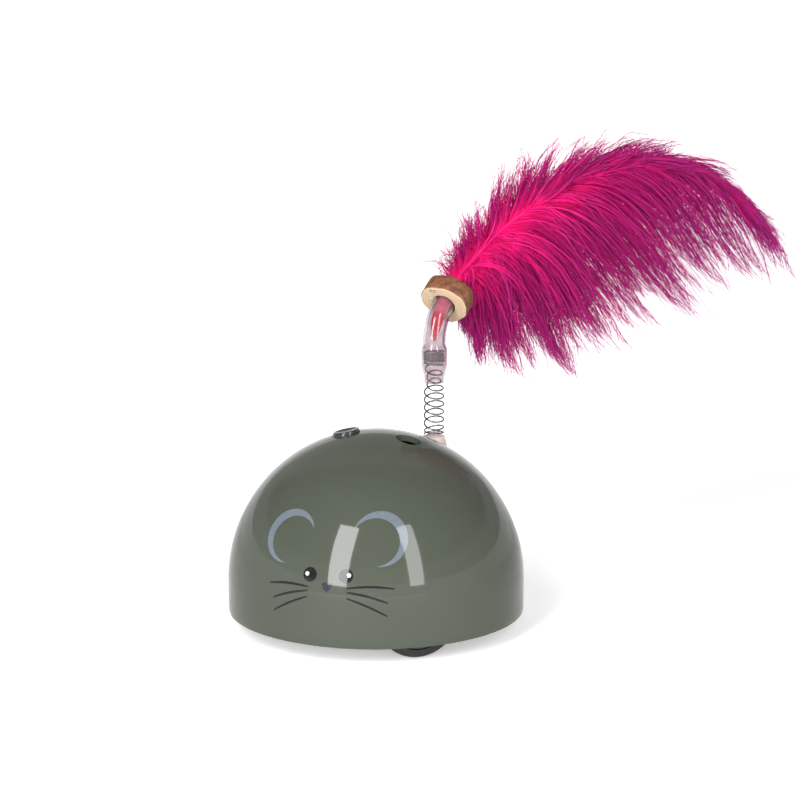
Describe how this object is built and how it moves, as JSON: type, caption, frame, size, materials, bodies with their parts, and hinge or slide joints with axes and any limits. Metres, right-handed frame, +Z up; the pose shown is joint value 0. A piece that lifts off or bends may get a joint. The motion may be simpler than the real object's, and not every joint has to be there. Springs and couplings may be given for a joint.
{
  "type": "motorised cat toy",
  "caption": "Domed motorised mouse toy on powered wheels, with a plain mouse face, a push button, a charging socket and a feather that sways on a coil spring.",
  "frame": {"origin": "centre of the base plate's flat underside", "axes": "+Z up along the dome's axis, -Y towards the mouse's face, +X towards the mouse's left"},
  "size_m": [0.1525, 0.1459, 0.1493],
  "materials": {
    "shell_grey_green": "polished injection-moulded shell",
    "black_plastic": "satin black moulding",
    "black_rubber": "matt, toothed tread",
    "steel": "bright zinc plate",
    "spring_steel": "drawn wire",
    "gear_plastic": "natural acetal",
    "natural_plastic": "natural moulding",
    "brass": "machined",
    "board_green": "solder mask",
    "cell_wrap": "shrink sleeve, plain",
    "lead_red": "soft insulation",
    "pale_silicone": "translucent soft plug",
    "clear_tube": "clear soft tube",
    "branch_wood": "sawn slice, bark left on",
    "quill_red": "dyed quill",
    "feather_pink": "dyed barbs and down"
  },
  "bodies": {
    "case": {"dome_shell": "shell_grey_green", "base_plate": "black_plastic", "case_screw_1": "steel", "case_screw_2": "steel", "case_screw_3": "steel", "case_screw_4": "steel", "board_screw_1": "steel", "board_screw_2": "steel", "board_screw_3": "steel", "strap_screw_1": "steel", "strap_screw_2": "steel", "left_glide": "black_plastic", "right_glide": "black_plastic", "circuit_board": "board_green", "power_switch": "black_plastic", "charge_socket": "black_plastic", "socket_pin": "brass", "battery_cell": "cell_wrap", "cell_strap": "natural_plastic", "cell_lead": "lead_red", "front_gear_frame": "natural_plastic", "front_idler_pin": "steel", "front_motor_can": "steel", "front_motor_cap": "natural_plastic", "front_motor_lead": "lead_red", "rear_gear_frame": "natural_plastic", "rear_idler_pin": "steel", "rear_motor_can": "steel", "rear_motor_cap": "natural_plastic", "rear_motor_lead": "lead_red"},
    "power_button": {"power_button": "black_plastic", "switch_plunger": "natural_plastic"},
    "feather_plug": {"feather_plug": "pale_silicone"},
    "feather_spring": {"feather_spring": "spring_steel"},
    "feather_holder": {"feather_tube": "clear_tube", "wood_slice": "branch_wood", "feather_quill": "quill_red", "feather_plume": "feather_pink", "thread_loop": "clear_tube"},
    "front_wheel": {"front_wheel_hub": "black_plastic", "front_tyre": "black_rubber", "front_axle": "steel"},
    "front_idler": {"front_idler_gear": "gear_plastic"},
    "front_rotor": {"front_motor_pinion": "brass", "front_motor_shaft": "steel"},
    "rear_wheel": {"rear_wheel_hub": "black_plastic", "rear_tyre": "black_rubber", "rear_axle": "steel"},
    "rear_idler": {"rear_idler_gear": "gear_plastic"},
    "rear_rotor": {"rear_motor_pinion": "brass", "rear_motor_shaft": "steel"}
  },
  "joints": [
    {"name": "front_wheel_spin", "type": "hinge", "parent": "case", "child": "front_wheel", "pos_m": [0.02314, -0.02758, 0.0083], "axis": [0.6428, -0.766, 0], "continuous": true},
    {"name": "front_idler_spin", "type": "hinge", "parent": "case", "child": "front_idler", "pos_m": [0.02527, -0.01769, 0.01121], "axis": [0.6428, -0.766, 0], "continuous": true},
    {"name": "front_rotor_spin", "type": "hinge", "parent": "case", "child": "front_rotor", "pos_m": [0.03187, -0.01215, 0.00969], "axis": [0.6428, -0.766, 0], "continuous": true},
    {"name": "rear_wheel_spin", "type": "hinge", "parent": "case", "child": "rear_wheel", "pos_m": [-0.02314, 0.02758, 0.0083], "axis": [-0.6428, 0.766, 0], "continuous": true},
    {"name": "rear_idler_spin", "type": "hinge", "parent": "case", "child": "rear_idler", "pos_m": [-0.02527, 0.01769, 0.01121], "axis": [-0.6428, 0.766, 0], "continuous": true},
    {"name": "rear_rotor_spin", "type": "hinge", "parent": "case", "child": "rear_rotor", "pos_m": [-0.03187, 0.01215, 0.00969], "axis": [-0.6428, 0.766, 0], "continuous": true},
    {"name": "power_button_press", "type": "slide", "parent": "case", "child": "power_button", "axis": [0, 0, -1], "range_m": [0, 0.0008], "stiffness_N_per_m": 800, "springref_m": -0.001},
    {"name": "feather_plug_pull", "type": "slide", "parent": "case", "child": "feather_plug", "axis": [0, 0, 1], "range_m": [0, 0.009]},
    {"name": "feather_lean", "type": "hinge", "parent": "feather_plug", "child": "feather_spring", "pos_m": [0.01113, 0.0213, 0.055], "axis": [-0.9848, 0.1736, 0], "range_deg": [-25, 25], "stiffness_Nm_per_rad": 0.06, "deforming": ["feather_spring"]},
    {"name": "feather_sway", "type": "hinge", "parent": "feather_spring", "child": "feather_holder", "pos_m": [0.01113, 0.0213, 0.0636], "axis": [0.1736, 0.9848, 0], "range_deg": [-20, 20], "stiffness_Nm_per_rad": 0.06, "deforming": ["feather_spring"]}
  ],
  "couplings": [
    {"joint": "front_idler_spin", "follows": "front_wheel_spin", "ratio": -2.4},
    {"joint": "front_rotor_spin", "follows": "front_wheel_spin", "ratio": 6.9333},
    {"joint": "rear_idler_spin", "follows": "rear_wheel_spin", "ratio": -2.4},
    {"joint": "rear_rotor_spin", "follows": "rear_wheel_spin", "ratio": 6.9333}
  ]
}
